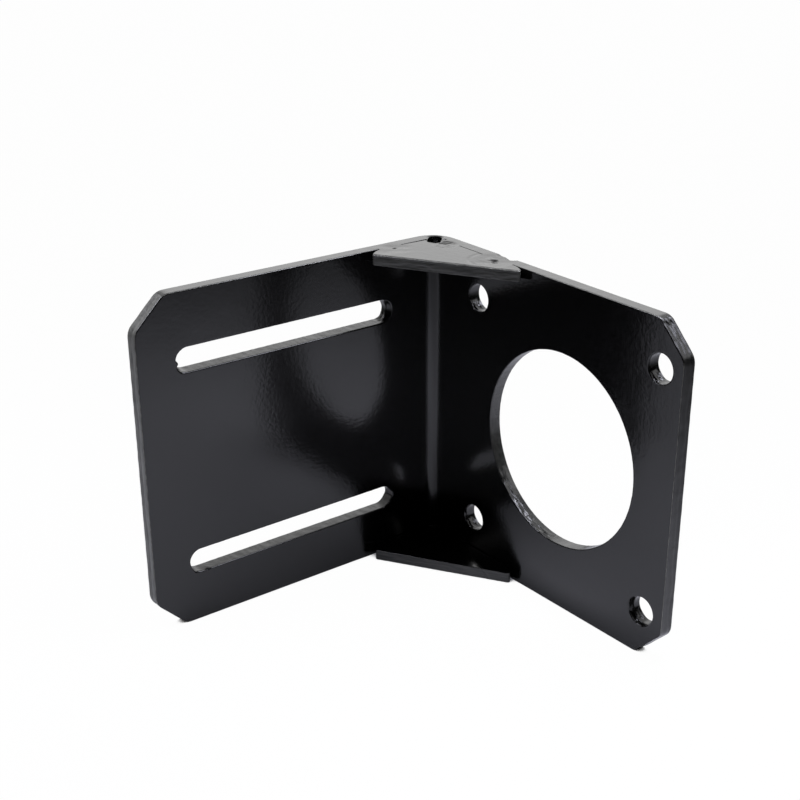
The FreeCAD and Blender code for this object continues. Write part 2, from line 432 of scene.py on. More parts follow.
def fold(points):
    """Points (s, z, t) of the flat sheet, taken to their place in the folded one."""
    s, z, t = points.T
    turn = np.clip(s / FOLD_SPAN, 0, 1) * math.pi / 2
    before = np.minimum(s, 0)
    past = np.maximum(s - FOLD_SPAN, 0)
    reach = BEND_INNER + t
    x = FOLD_X + before + reach * np.sin(turn)
    y = FOLD_Y - past + reach * np.cos(turn)
    return np.stack([x, y, z], 1)


def apply_modifiers(thing):
    """Works the object's modifiers into its mesh."""
    graph = bpy.context.evaluated_depsgraph_get()
    mesh = bpy.data.meshes.new_from_object(thing.evaluated_get(graph))
    thing.modifiers.clear()
    thing.data = mesh


def cut(thing, cutters):
    """Takes the cutters' volume out of the object and removes them."""
    for cutter in cutters:
        step = thing.modifiers.new("cut", "BOOLEAN")
        step.operation = "DIFFERENCE"
        step.solver = "EXACT"
        step.object = cutter
        apply_modifiers(thing)
        bpy.data.objects.remove(cutter)


def drop_doubled_faces(thing):
    """Makes the faces triangles and drops the pairs that lie back to back on the same corners."""
    work = bmesh.new()
    work.from_mesh(thing.data)
    bmesh.ops.triangulate(work, faces=work.faces)
    found = {}
    for face in work.faces:
        found.setdefault(frozenset(corner.index for corner in face.verts), []).append(face)
    doubled = [face for faces in found.values() if len(faces) > 1 for face in faces]
    bmesh.ops.delete(work, geom=doubled, context="FACES")
    work.to_mesh(thing.data)
    work.free()


def mirrored(thing, name):
    """A copy of the object at the other end of the bracket."""
    mesh = thing.data.copy()
    mesh.transform(Matrix.Diagonal((1, 1, -1, 1)))
    mesh.flip_normals()
    return linked(name, mesh)


def smooth_shading(thing, sharp_degrees=38):
    """Shades the object smoothly, its flat faces flat and its true edges sharp."""
    mesh = thing.data
    mesh.shade_smooth()
    mesh.set_sharp_from_angle(angle=math.radians(sharp_degrees))
    step = thing.modifiers.new("normals", "WEIGHTED_NORMAL")
    step.weight = 100
    step.keep_sharp = True
    apply_modifiers(thing)


def prism(name, points, low, high):
    """A closed prism over an outline in the XY plane."""
    count = len(points)
    bottom = np.concatenate([points, np.full((count, 1), low)], 1)
    top = np.concatenate([points, np.full((count, 1), high)], 1)
    around = [(i, (i + 1) % count, (i + 1) % count + count, i + count) for i in range(count)]
    caps = [tuple(range(count - 1, -1, -1)), tuple(range(count, 2 * count))]
    return mesh_object(name, np.concatenate([bottom, top]), around + caps)


def relief_outline():
    """Points of the relief hole's outline, along the fold's bisector."""
    points, _ = obround(0, 0, RELIEF_LENGTH, RELIEF_WIDTH, 0.15)
    c = math.cos(math.pi / 4)
    return points @ np.array(((c, c), (-c, c))) + np.array((RELIEF_X, RELIEF_Y))


# Welds: name, middle, length and width, and whether the length runs along Y
WELDS = (
    ("slotted_side_weld", (-11.2, SEAM_Y), 5.4, 2.8, False),
    ("motor_side_weld", (0, SEAM_Y - 18.5), 8.6, 4.3, True),
    ("corner_weld", (0, SEAM_Y - 4.9), 5.2, 4.3, True),
)
WELD_DEPTH = 1.2
WELD_ROOT = 0.8
PUDDLE_RINGS = 12
ROOT_RINGS = 7
WELD_SEED = 31
CUT_CLEAR = 0.8                 # cutters stand out this far past the faces they cut


def weld_outline(middle, length, width, along_y, seed):
    """The slightly uneven outline of a weld puddle."""
    points, normals = obround(0, 0, length, width, 0.2)
    points = points - normals * (0.06 + 0.05 * ripples(points, 1.6, seed))[:, None]
    if along_y:
        points = np.stack([-points[:, 1], points[:, 0]], 1)
    return points + np.array(middle)


def weld(name, points, top=None):
    """A weld nugget: a puddle surface over a rounded root. With top, a cutter with that flat top."""
    middle = points.mean(0)
    count = len(points)
    rings, levels = [], []

    def heights(spots):
        """Heights of the top over the spots."""
        if top is not None:
            return np.full(len(spots), top)
        return HALF_HEIGHT - end_surface(spots[:, 0], spots[:, 1])

    for share in np.linspace(0, 1, PUDDLE_RINGS + 1)[1:]:
        rings.append(middle + (points - middle) * share)
        levels.append(heights(rings[-1]))
    reach = np.linalg.norm(points - middle, axis=1).mean()
    for a in np.linspace(0, math.pi / 2, ROOT_RINGS):
        inset = WELD_ROOT * (1 - math.cos(a)) / reach
        rings.append(middle + (points - middle) * (1 - inset))
        levels.append(np.full(count, HALF_HEIGHT - WELD_DEPTH + WELD_ROOT * (1 - math.sin(a))))
    flat = np.concatenate(rings)
    vertices = np.concatenate([flat, np.concatenate(levels)[:, None]], 1)
    faces = []
    for k in range(len(rings) - 1):
        for i in range(count):
            j = (i + 1) % count
            faces.append((k * count + i, k * count + j, (k + 1) * count + j, (k + 1) * count + i))
    centre = len(vertices)
    ends = [(*middle, heights(middle[None])[0]), (*middle, HALF_HEIGHT - WELD_DEPTH)]
    vertices = np.concatenate([vertices, ends])
    last = (len(rings) - 1) * count
    for i in range(count):
        j = (i + 1) % count
        faces.append((centre, j, i))
        faces.append((centre + 1, last + i, last + j))
    return mesh_object(name, vertices, faces)


def plate_spacing(u, v):
    """Distance between outline points of the folded plate."""
    at_end = abs(v) > HALF_HEIGHT - 1
    if at_end and 0 < u < FOLD_SPAN:
        return FOLD_SPAN / FOLD_STEPS
    by_marks = u > FOLD_SPAN + MOTOR_FLAT - 7 and v > HALF_HEIGHT - 7
    if by_marks or (at_end and FINE_ENDS[0] < u < FINE_ENDS[1]):
        return FINE
    return COARSE


def mark(u, v, reach, rough=0.0, lead=0.0, depth=WALL):
    """A mark of the cut in a wall: where it is, how far it reaches, how rough it is and how much wider it
    makes the hole at the inner face, down to a depth."""
    return u, v, reach, rough, lead, depth


def rim_mark(u, v, radius, degrees, *rest):
    """A mark at an angle round a hole's centre."""
    a = math.radians(degrees)
    return mark(u + radius * math.cos(a), v + radius * math.sin(a), *rest)


def hole_marks():
    """The rough starts of the cut and the lead-ins in the walls of the holes and slots."""
    near, far = PILOT_S - SCREW_HALF_SQUARE, PILOT_S + SCREW_HALF_SQUARE
    top, bottom = SCREW_HALF_SQUARE, -SCREW_HALF_SQUARE
    marks = [rim_mark(u, v, SCREW_RADIUS, 232, 1.5, 0.055) for u in (near, far) for v in (bottom, top)]
    marks += [rim_mark(PILOT_S, 0, PILOT_RADIUS, a, 2.6, 0.045, 0.03, 1.5) for a in range(214, 268, 8)]
    marks += [
        rim_mark(far, top, SCREW_RADIUS, 215, 3.2, 0.0, 0.12, 0.5),
        rim_mark(far, bottom, SCREW_RADIUS, 185, 3.4, 0.0, 0.42, 1.3),
        rim_mark(far, bottom, SCREW_RADIUS, 255, 3.0, 0.0, 0.30, 1.0),
        rim_mark(near, bottom, SCREW_RADIUS, 200, 2.4, 0.0, 0.14, 0.5),
    ]
    left, right = SLOT_S - SLOT_LENGTH / 2, SLOT_S + SLOT_LENGTH / 2
    high, low = SLOT_Z - SLOT_DROP, -SLOT_Z - SLOT_DROP
    marks += [
        mark(right, high + 0.4, 3.0, 0.0, -0.45, 8.0),
        mark(right, high + 0.2, 3.0, 0.0, 0.70, 1.2),
        mark(left, high + 0.4, 2.6, 0.0, -0.28, 8.0),
        mark(right - 1.1, high - 1.9, 1.6, 0.07),
        mark(left, high + 0.2, 2.6, 0.0, 0.34, 0.8),
        mark(left + 0.1, high - 0.5, 0.6, 0.0, -0.45, 0.9),
        mark(left + 0.5, high - 1.6, 1.8, 0.05, 0.16, 0.6),
        mark(left + 0.8, low - 1.7, 2.0, 0.07, 0.10, 0.6),
        mark(left + 3.4, low - 2.3, 0.7, 0.05, 0.16, 0.9),
        mark(right, low + 0.1, 1.2, 0.0, 0.30, 6.0),
    ]
    return marks


def wall_places(at, level):
    """Places over a wall for its unevenness, from its loop's points and the depths of its rows."""
    u, v = at.T[..., None]
    return np.stack([np.broadcast_to(u, level.shape), np.broadcast_to(v, level.shape), level * 0.5], -1)


def marked(at, level, marks):
    """How far marks of the cut move a wall: at are its points, level the depths of its rows. Their grain is
    drawn out along the cut."""
    run = np.concatenate([[0], np.cumsum(np.linalg.norm(np.diff(at, axis=0), axis=1))])[:, None]
    spot = np.stack([np.broadcast_to(run * 0.22, level.shape), level], -1)
    grain = np.clip(ripples(spot, 0.6, 12), -2, 2)
    moved = np.zeros_like(level)
    for u, v, reach, rough, lead, depth in marks:
        share = (1 - smooth(np.hypot(at[:, 0] - u, at[:, 1] - v), 0.3 * reach, reach))[:, None]
        moved += rough * grain * share * (1 - smooth(level, 0.8 * depth, 1.2 * depth))
        moved -= lead * share * (1 - smooth(level, 0, depth))
    return moved


def plate_mesh():
    """The folded plate before its pockets are cut."""
    free, far = -SLOTTED_FLAT, FOLD_SPAN + MOTOR_FLAT
    h, c, r = HALF_HEIGHT, CORNER_CUT, CORNER_ROUND
    stops = (FINE_ENDS[0], 0.0, FOLD_SPAN, FINE_ENDS[1])
    corners = [(free + c, -h, r)] + [(s, -h, 0) for s in stops] + [
        (far - c, -h, r), (far, c - h, r), (far, h - c, r), (far - c, h, r)]
    corners += [(s, h, 0) for s in stops[::-1]] + [(free + c, h, r), (free, h - c, r), (free, c - h, r)]
    points, normals = outline(corners, plate_spacing)
    on_motor_side = smooth(points[:, 0], far - c - 1, far - c + 1)[:, None]
    on_free_edge = 1 - smooth(np.abs(normals[:, 1:]), 0.75, 0.95)
    edge_marks = [mark(far - 3, h - 3, 5.0, 0.02), mark(far - 5.4, h - 0.6, 1.8, 0.04)]

    def edge_wave(at, level):
        """Section of the cut edge, never outside the true outline: uneven, and on the free edges and the
        corner cuts with a wandering groove. The motor plate's edge leans out to its outer face."""
        spot = wall_places(at, level)
        share = level / WALL
        groove_at = 0.50 + 0.22 * on_motor_side + 0.04 * ripples(at, 7.0, 13)[:, None]
        groove = (0.070 - 0.015 * on_motor_side) * np.exp(-((share - groove_at) / 0.12) ** 2)
        lean = 0.2 * on_motor_side * (1 - smooth(share, 0.1, 0.95))
        uneven = 0.012 * np.clip(ripples(spot, 2.0, 11), -2, 2)
        cut = -0.025 + uneven - groove - lean + marked(at, level, edge_marks)
        level_end = -0.012 + 0.004 * np.clip(ripples(spot, 2.6, 14), -2, 2)
        return np.minimum(level_end + (cut - level_end) * on_free_edge, 0)

    marks = hole_marks()

    def hole_wave(at, level):
        """Section of a hole's wall: uneven, with striations through the sheet and the marks of the cut."""
        spot = wall_places(at, level)
        along = spot * np.array((1, 1, 0.15))
        uneven = 0.008 * np.clip(ripples(spot, 1.4, 12), -2, 2) + 0.003 * ripples(along, 0.5, 15)
        return uneven + marked(at, level, marks)

    def slot_wave(at, level):
        """The same for a slot, whose lower wall leans a little."""
        inner, outer = SLOT_TAPER[1 if at[0, 1] > 0 else -1]
        below = smooth(at[:, 1].mean() - at[:, 1], 1.5, 2.2)[:, None]
        return hole_wave(at, level) + (inner + (outer - inner) * level / WALL) * below

    s, z = points.T
    beside_gusset = smooth(s, -18, -16) * (1 - smooth(s, FOLD_SPAN + 25, FOLD_SPAN + 27))
    at_end = (np.abs(z) > h - 0.5) * beside_gusset
    inner = EDGE_ROUND + (SEAM_ROUND - EDGE_ROUND) * at_end
    outer = np.full(len(points), EDGE_ROUND)
    loops = [(points, normals, inner, outer, WALL_ROWS, edge_wave)]
    holes = [ring(PILOT_S, 0, PILOT_RADIUS, FINE)]
    for side in (-SCREW_HALF_SQUARE, SCREW_HALF_SQUARE):
        for end in (-SCREW_HALF_SQUARE, SCREW_HALF_SQUARE):
            holes.append(ring(PILOT_S + side, end, SCREW_RADIUS, 0.12))
    waves = [hole_wave] * len(holes)
    for end in (-1, 1):
        slot_z = end * SLOT_Z - SLOT_DROP
        spots, away = reversed_loop(*obround(SLOT_S, slot_z, SLOT_LENGTH, SLOT_WIDTH, 0.3))
        spots[:, 1] += SLOT_TILT * (spots[:, 0] - SLOT_S)
        holes.append((spots, away))
        waves.append(slot_wave)
    for (spots, away), wave in zip(holes, waves):
        rounding = np.full(len(spots), EDGE_ROUND)
        loops.append((spots, away, rounding, rounding, WALL_ROWS, wave))

    # Lines up the fold, which start and end at the outline's own points
    columns = []
    depths = (0.65, 0.95, 1.25, 1.55, 1.9, 2.4, 3.2, 4.5, 6.5, 9.5, 13, 17, 21, 25, 29)
    levels = np.array([d - h for d in depths] + [0] + [h - d for d in depths[::-1]])
    for step in range(FOLD_STEPS + 1):
        place = FOLD_SPAN * step / FOLD_STEPS
        on_line = np.abs(s - place) < 1e-6
        low = int(np.flatnonzero(on_line & (z < 0))[0])
        high = int(np.flatnonzero(on_line & (z > 0))[0])
        columns.append((low, np.stack([np.full(len(levels), place), levels], 1), high))
    walls = [points] + [spots for spots, _ in holes]
    in_metal = clear_of(walls, PLATE_MARGIN)

    def flat_only(spots):
        beside_fold = (spots[:, 0] < -FOLD_MARGIN) | (spots[:, 0] > FOLD_SPAN + FOLD_MARGIN)
        return in_metal(spots) & beside_fold

    loose = grid_points((free, -h), (far, h), PLATE_GRID, flat_only)
    flat, faces = slab(loops, WALL, (loose, loose), columns)
    return sink_ends(fold(flat)), faces


def fillet_centre(corner, direction, inward, hub, radius, size):
    """Centre of a fillet between a straight edge and the inside of an arc, near their corner."""
    base = corner + inward * size - hub
    half = base @ direction
    root = math.sqrt(half * half - base @ base + (radius - size) ** 2)
    along = min((-half - root, -half + root), key=abs)
    return corner + inward * size + direction * along


def angle_of(vector):
    """Angle of a vector in radians, from 0 up to a full turn."""
    return math.atan2(vector[1], vector[0]) % (2 * math.pi)


def gusset_tips():
    """The two points where the gusset's curved leg edges meet its front edge."""
    slotted = np.array((-GUSSET_SLOTTED_LEG + SLOTTED_TIP_DROP / GUSSET_SLOPE,
                        SEAM_Y - SEAM_GAP - SLOTTED_TIP_DROP))
    motor = np.array((-SEAM_GAP - MOTOR_TIP_DROP,
                      SEAM_Y - GUSSET_MOTOR_LEG + MOTOR_TIP_DROP * GUSSET_SLOPE))
    return slotted, motor


def gusset_outline():
    """Points and normals of the gusset's outline in the XY plane, counter-clockwise."""
    slotted_tip, motor_tip = gusset_tips()
    front = (motor_tip - slotted_tip) / np.linalg.norm(motor_tip - slotted_tip)
    inward = np.array((-front[1], front[0]))
    slotted_turn = math.acos(1 - SLOTTED_TIP_DROP / TIP_RADIUS)
    motor_turn = math.acos(1 - MOTOR_TIP_DROP / TIP_RADIUS)
    slotted_hub = slotted_tip + TIP_RADIUS * np.array((math.sin(slotted_turn), -math.cos(slotted_turn)))
    motor_hub = motor_tip + TIP_RADIUS * np.array((-math.cos(motor_turn), math.sin(motor_turn)))
    first = fillet_centre(slotted_tip, front, inward, slotted_hub, TIP_RADIUS, TIP_CORNER_ROUND)
    second = fillet_centre(motor_tip, front, inward, motor_hub, TIP_RADIUS, TIP_CORNER_ROUND)
    quarter = math.pi / 2
    off_slotted = angle_of(first - slotted_hub)
    off_front = angle_of(-inward)
    off_motor = angle_of(second - motor_hub)
    fine, coarse = 0.12, 0.25
    seam_x, seam_y = -SEAM_GAP, SEAM_Y - SEAM_GAP
    return chain([
        arc((FOLD_X, FOLD_Y), BEND_INNER - SEAM_GAP, 0, quarter, coarse),
        straight((FOLD_X, seam_y), (slotted_hub[0], seam_y), coarse),
        arc(slotted_hub, TIP_RADIUS, quarter, off_slotted, coarse),
        arc(first, TIP_CORNER_ROUND, off_slotted, off_front, fine),
        straight(first - inward * TIP_CORNER_ROUND, second - inward * TIP_CORNER_ROUND, coarse),
        arc(second, TIP_CORNER_ROUND, off_front, off_motor, fine),
        arc(motor_hub, TIP_RADIUS, off_motor, 4 * quarter, coarse),
        straight((seam_x, motor_hub[1]), (seam_x, FOLD_Y), coarse),
    ])


def gusset_mesh():
    """The upper gusset before its pockets are cut."""
    points, normals = gusset_outline()
    repeat = np.linalg.norm(points - np.roll(points, 1, 0), axis=1) < 1e-6
    points, normals = points[~repeat], normals[~repeat]
    front = np.array((GUSSET_SLOTTED_LEG, -GUSSET_MOTOR_LEG))
    front = front / np.linalg.norm(front)
    towards_front = smooth(-(normals[:, 0] + normals[:, 1]), -0.9, 1.0)
    on_front = smooth(-(normals[:, 0] + normals[:, 1]), 0.9, 1.3)[:, None]
    high = SEAM_ROUND + (FRONT_ROUND - SEAM_ROUND) * towards_front
    low = np.full(len(points), LOWER_ROUND)

    def edge_wave(at, level):
        """Streaks of the cut along the front edge, a groove below its rim and the rim's unevenness. The
        seam opens a little towards the relief hole."""
        along = np.broadcast_to((at @ front)[:, None], level.shape)
        streaks = 0.014 * np.clip(ripples(np.stack([along * 0.3, level], -1), 0.8, 21), -2, 2)
        groove = 0.05 * np.exp(-((level - GUSSET_WALL + 0.50) / 0.10) ** 2)
        rim = 0.022 * np.clip(ripples(np.stack([along, level * 0.5], -1), 0.7, 22), -2, 2)
        at_rim = smooth(level, GUSSET_WALL - 0.5, GUSSET_WALL - 0.1)
        by_hole = (smooth(at[:, 0], -11, -3) * (at[:, 1] > FOLD_Y))[:, None]
        return (streaks * (1 - at_rim) - groove + rim * at_rim) * on_front - 0.32 * by_hole

    loops = [(points, normals, low, high, GUSSET_WALL_ROWS, edge_wave)]
    in_metal = clear_of([points], GUSSET_MARGIN)
    loose = [grid_points(points.min(0), points.max(0), pitch, in_metal) for pitch in GUSSET_GRIDS]
    flat, faces = slab(loops, GUSSET_WALL, loose)
    flat[:, 2] += HALF_HEIGHT - GUSSET_WALL
    return sink_ends(flat), faces


def node_tree(name):
    """A new material, its node tree and its principled shader."""
    material = bpy.data.materials.new(name)
    material.use_nodes = True
    tree = material.node_tree
    shader = tree.nodes["Principled BSDF"]
    return material, tree, shader


def give(tree, node, inputs):
    """Sets a node's inputs to values, or links them to outputs of other nodes."""
    for name, given in inputs.items():
        if isinstance(given, bpy.types.NodeSocket):
            tree.links.new(given, node.inputs[name])
        else:
            node.inputs[name].default_value = given


def add_node(tree, kind, inputs):
    """A new shader node with those inputs."""
    node = tree.nodes.new("ShaderNode" + kind)
    give(tree, node, inputs)
    return node


def noise(tree, source, scale, detail=2.0, roughness=0.5):
    """Height output of a noise texture read at a coordinate output."""
    inputs = {"Vector": source, "Scale": scale, "Detail": detail, "Roughness": roughness}
    return add_node(tree, "TexNoise", inputs).outputs["Fac"]


def stretched(tree, factors):
    """Object coordinates scaled along each axis."""
    place = add_node(tree, "TexCoord", {}).outputs["Object"]
    return add_node(tree, "Mapping", {"Scale": factors, "Vector": place}).outputs["Vector"]


def bump(tree, height, distance, below=None):
    """A bump of a height output, over another bump if one is given."""
    inputs = {"Distance": distance, "Height": height}
    if below is not None:
        inputs["Normal"] = below
    return add_node(tree, "Bump", inputs).outputs["Normal"]


def between(tree, factor, low, high, first=0.0, last=1.0):
    """Maps an output's range from first to last onto low to high."""
    inputs = {"Value": factor, "From Min": first, "From Max": last, "To Min": low, "To Max": high}
    return add_node(tree, "MapRange", inputs).outputs["Result"]


def tinted(tree, factor, colors, places=(0, 1)):
    """Colour output that runs from one colour to another."""
    node = add_node(tree, "ValToRGB", {"Fac": factor})
    for element, color, place in zip(node.color_ramp.elements, colors, places):
        element.position = place
        element.color = (*color, 1)
    return node.outputs["Color"]


def black_paint(name, rough, peel, waviness, streak=None, streak_depth=0.0, tones=(0.0003, 0.0006)):
    """Gloss black paint with orange peel, between two roughnesses and two tones. streak stretches fine
    marks of the cut under the paint."""
    material, tree, shader = node_tree(name)
    plain = stretched(tree, (1, 1, 1))
    normal = bump(tree, noise(tree, plain, 170, 1.0), waviness)
    normal = bump(tree, noise(tree, plain, 1300, 1.5), peel, normal)
    haze = noise(tree, plain, 45, 4.0, 0.6)
    tone_and_streak_noise = haze
    if streak is not None:
        tone_and_streak_noise = noise(tree, stretched(tree, streak), 1.0, 3.0, 0.6)
        normal = bump(tree, tone_and_streak_noise, streak_depth, normal)
    # The cut paints pass tones lifted above the black: painted sheen, and on the rims a painted highlight
    colors = [(tone, tone, tone * 0.9) for tone in tones]
    give(tree, shader, {
        "Normal": normal,
        "Roughness": between(tree, haze, *rough),
        "Base Color": tinted(tree, tone_and_streak_noise, colors, (0.3, 0.7)),
        "IOR": 1.5,
    })
    return material


def cut_paint(name, rough, streak, streak_depth, tones):
    """The paint over a cut edge, its tones lifted above the faces' black as painted sheen."""
    return black_paint(name, rough, 1.5e-5, 2e-5, streak, streak_depth, tones)


face_paint = black_paint("black_paint_face", (0.12, 0.18), 1.2e-5, 3e-5)
weld_paint = black_paint("black_paint_weld", (0.13, 0.22), 1.2e-5, 3e-5)
# The gusset's front edge: its tones are painted sheen, lighter than its black paint
front_cut = cut_paint("black_paint_cut_gusset", (0.20, 0.32), (200, 200, 2600), 2e-5, (0.020, 0.052))
# The rims' paint: light tones that paint the highlight along the rounded rims
rim_highlight_paint = cut_paint("black_paint_rim", (0.14, 0.20), (900, 900, 900), 1e-5, (0.06, 0.18))
# Besides the face, each paint here has tones lifted above the black as painted sheen: the top ends, the hole
# and pilot walls and the free edges, the slotted plate's edge lightest; the rim's is a painted highlight
PLATE_PAINTS = {
    "face": face_paint,
    "end": cut_paint("black_paint_end", (0.14, 0.20), (600, 600, 600), 1e-5, (0.004, 0.012)),
    "hole": cut_paint("black_paint_hole", (0.14, 0.24), (2600, 2600, 600), 2e-5, (0.002, 0.010)),
    "slotted": cut_paint("black_paint_cut_slotted", (0.25, 0.38), (2600, 1200, 300), 2e-5, (0.040, 0.110)),
    "motor": cut_paint("black_paint_cut_motor", (0.22, 0.34), (1200, 2600, 300), 2e-5, (0.002, 0.016)),
    "rim": rim_highlight_paint,
    "pilot": cut_paint("black_paint_pilot", (0.14, 0.26), (1200, 1200, 600), 2e-5, (0.016, 0.044)),
}
FREE_X = FOLD_X - SLOTTED_FLAT  # the slotted plate's free edge
FREE_Y = FOLD_Y - MOTOR_FLAT    # the motor plate's
RIM_TURN = (0.3, 0.93)          # range of a rim's normal across the sheet, which is 1 on a face


def plate_paint(centre, normal):
    """Name in PLATE_PAINTS for a polygon of the folded plate."""
    x, y, z = centre
    slotted_half = y > FOLD_Y + (x - FOLD_X)
    if x > FOLD_X and y > FOLD_Y:
        across = math.hypot(normal.x, normal.y)
    else:
        across = abs(normal.y) if slotted_half else abs(normal.x)
    near_end = abs(z) > HALF_HEIGHT - 0.4
    beside_gusset = x > -GUSSET_SLOTTED_LEG and y > SEAM_Y - GUSSET_MOTOR_LEG and near_end
    on_outline = near_end or x < FREE_X + 0.4 or y < FREE_Y + 0.4
    # Rounded rims along the outline get the painted highlight
    if RIM_TURN[0] < across <= RIM_TURN[1] and on_outline and not beside_gusset:
        return "rim"
    if across > 0.7:
        return "face"
    if abs(normal.z) > 0.9 and abs(z) > HALF_HEIGHT - 1:
        return "end"
    by_corner_cut = abs(z) > HALF_HEIGHT - CORNER_CUT + 0.1
    if x < FREE_X + 0.5 or (slotted_half and by_corner_cut):
        return "slotted"
    if y < FREE_Y + 0.5 or by_corner_cut:
        return "motor"
    return "pilot" if x > -0.5 and math.hypot(y, z) < PILOT_RADIUS + 0.5 else "hole"


def paint_plate(thing):
    """Gives each polygon of the folded plate its paint."""
    for paint in PLATE_PAINTS.values():
        thing.data.materials.append(paint)
    places = {name: place for place, name in enumerate(PLATE_PAINTS)}
    for polygon in thing.data.polygons:
        polygon.material_index = places[plate_paint(polygon.center / MM, polygon.normal)]


def paint_gusset(thing):
    """Gives the gusset's faces their black paint, its cut edges painted sheen and its upper front rim the
    painted highlight.
    """
    for paint in (face_paint, front_cut, rim_highlight_paint):
        thing.data.materials.append(paint)
    for polygon in thing.data.polygons:
        normal = polygon.normal
        near_top = polygon.center.z > (HALF_HEIGHT - FRONT_ROUND) * MM
        if near_top and RIM_TURN[0] < normal.z < RIM_TURN[1] and normal.x + normal.y < -0.2:
            polygon.material_index = 2
        else:
            polygon.material_index = 0 if abs(normal.z) > 0.7 else 1


# Pieces


def finish_piece(thing, *nodes):
    """Rides on the bracket's body and stands for its CAD nodes."""
    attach(thing, "root")
    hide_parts(*nodes)


relief = relief_outline()
weld_outlines = {name: weld_outline(middle, length, width, along_y, WELD_SEED + index)
                 for index, (name, middle, length, width, along_y) in enumerate(WELDS)}
gusset_base = HALF_HEIGHT - GUSSET_WALL


def upper_cutters(relief_low):
    """Cutters for the three weld pockets and the relief hole of the upper end."""
    made = [weld("cutter_" + name, points, HALF_HEIGHT + CUT_CLEAR) for name, points in weld_outlines.items()]
    made.append(prism("cutter_relief", relief, relief_low, HALF_HEIGHT + CUT_CLEAR))
    return made


plate_points, plate_faces = plate_mesh()
plate = mesh_object("bracket_folded_plate", plate_points, plate_faces)
cutters = upper_cutters(gusset_base)
cutters += [mirrored(cutter, cutter.name + "_low") for cutter in cutters]
cut(plate, cutters)
drop_doubled_faces(plate)
smooth_shading(plate)
paint_plate(plate)
finish_piece(plate, "folded_plate")

gusset_points, gusset_faces = gusset_mesh()
upper = mesh_object("bracket_upper_gusset", gusset_points, gusset_faces)
cut(upper, upper_cutters(gusset_base - CUT_CLEAR))
smooth_shading(upper)
paint_gusset(upper)
lower = mirrored(upper, "bracket_lower_gusset")
finish_piece(upper, "upper_gusset")
finish_piece(lower, "lower_gusset")

for name, weld_points in weld_outlines.items():
    bead = weld("bracket_upper_" + name, weld_points)
    if name == "corner_weld":
        cut(bead, [prism("cutter_relief", relief, gusset_base - CUT_CLEAR, HALF_HEIGHT + CUT_CLEAR)])
    smooth_shading(bead, 50)
    bead.data.materials.append(weld_paint)
    low_bead = mirrored(bead, "bracket_lower_" + name)
    finish_piece(bead, "upper_" + name)
    finish_piece(low_bead, "lower_" + name)


# Floor, light and camera


def by_ray(tree, camera, gloss, other):
    """One value for camera rays, one for glossy and transmission rays and one for the rest."""
    rays = add_node(tree, "LightPath", {}).outputs
    mirrored_ray = add_node(tree, "Math", {0: rays["Is Glossy Ray"], 1: rays["Is Transmission Ray"]})
    mirrored_ray.operation = "MAXIMUM"
    unseen = between(tree, mirrored_ray.outputs[0], other, gloss)
    return between(tree, rays["Is Camera Ray"], unseen, camera)


FLOOR_HALF = 3000.0             # half of the floor's side
CAMERA_WHITE = 0.985            # share of plain white in what the camera sees of the open floor
TIGHT_GAP = 0.004               # depth in metres of the gaps in which the floor keeps its whole shadow


def open_floor(tree):
    """CAMERA_WHITE on the open floor and beside the bracket, and 0 at the bottom of a narrow hole."""
    closeness = add_node(tree, "AmbientOcclusion", {"Distance": TIGHT_GAP})
    return between(tree, closeness.outputs["AO"], 0.0, CAMERA_WHITE, 0.25, 0.40)


def floor_material():
    """Pale floor that is white for the camera, apart from a trace of its shadow, and itself for the rest."""
    material, tree, shader = node_tree("pale_floor")
    speckle = noise(tree, stretched(tree, (1, 1, 1)), 30)
    give(tree, shader, {
        "Base Color": tinted(tree, speckle, ((0.86, 0.86, 0.86), (0.90, 0.90, 0.90))),
        "Roughness": 0.8,
        "Specular IOR Level": 0.1,
    })
    mix = add_node(tree, "MixShader", {
        "Fac": by_ray(tree, open_floor(tree), 0.0, 0.0),
        1: shader.outputs["BSDF"],
        2: add_node(tree, "Emission", {"Strength": 1.0}).outputs["Emission"],
    })
    give(tree, tree.nodes["Material Output"], {"Surface": mix.outputs["Shader"]})
    return material


floor_corners = [(x * FLOOR_HALF, y * FLOOR_HALF, -HALF_HEIGHT)
                 for x, y in ((-1, -1), (1, -1), (1, 1), (-1, 1))]
floor = mesh_object("floor", floor_corners, [(0, 1, 2, 3)])
floor.data.materials.append(floor_material())

BACKDROP_SIDE = (0.61, 0.79, 0.0)   # towards the white backdrop, seen from the photo's side


def studio_world():
    """A world that is white for the camera, and for reflections on the backdrop's side."""
    world = bpy.data.worlds.new("studio")
    world.use_nodes = True
    sky = world.node_tree
    seen = add_node(sky, "TexCoord", {}).outputs["Generated"]
    facing = add_node(sky, "VectorMath", {0: seen, 1: BACKDROP_SIDE})
    facing.operation = "DOT_PRODUCT"
    inputs = {"Value": facing.outputs["Value"], "From Min": 0.1, "From Max": 0.6}
    backdrop = add_node(sky, "MapRange", inputs)
    backdrop.interpolation_type = "SMOOTHSTEP"
    strength = by_ray(sky, 1.0, backdrop.outputs["Result"], 0.0)
    give(sky, sky.nodes["Background"], {"Strength": strength, "Color": (1, 1, 1, 1)})
    return world


bpy.context.scene.world = studio_world()


def placement(right, rise, back, place):
    """World matrix for an object with those axes, at a place in metres."""
    matrix = Matrix(np.stack([right, rise, back], 1).tolist()).to_4x4()
    matrix.translation = place
    return matrix


def lamp_object(name, data, color):
    """An object for a lamp that the camera doesn't see."""
    data.color = color
    thing = linked(name, data)
    thing.visible_camera = False
    return thing


def area_lamp(name, width, height, radiance, color):
    """An area lamp, its size in metres, of the same radiance all over."""
    data = bpy.data.lights.new(name, "AREA")
    data.shape = "RECTANGLE"
    data.size = width
    data.size_y = height
    data.energy = radiance * math.pi * width * height
    return lamp_object(name, data, color)


SOFTBOX_DISTANCE = 1.1          # in metres, as all places and sizes of lamps


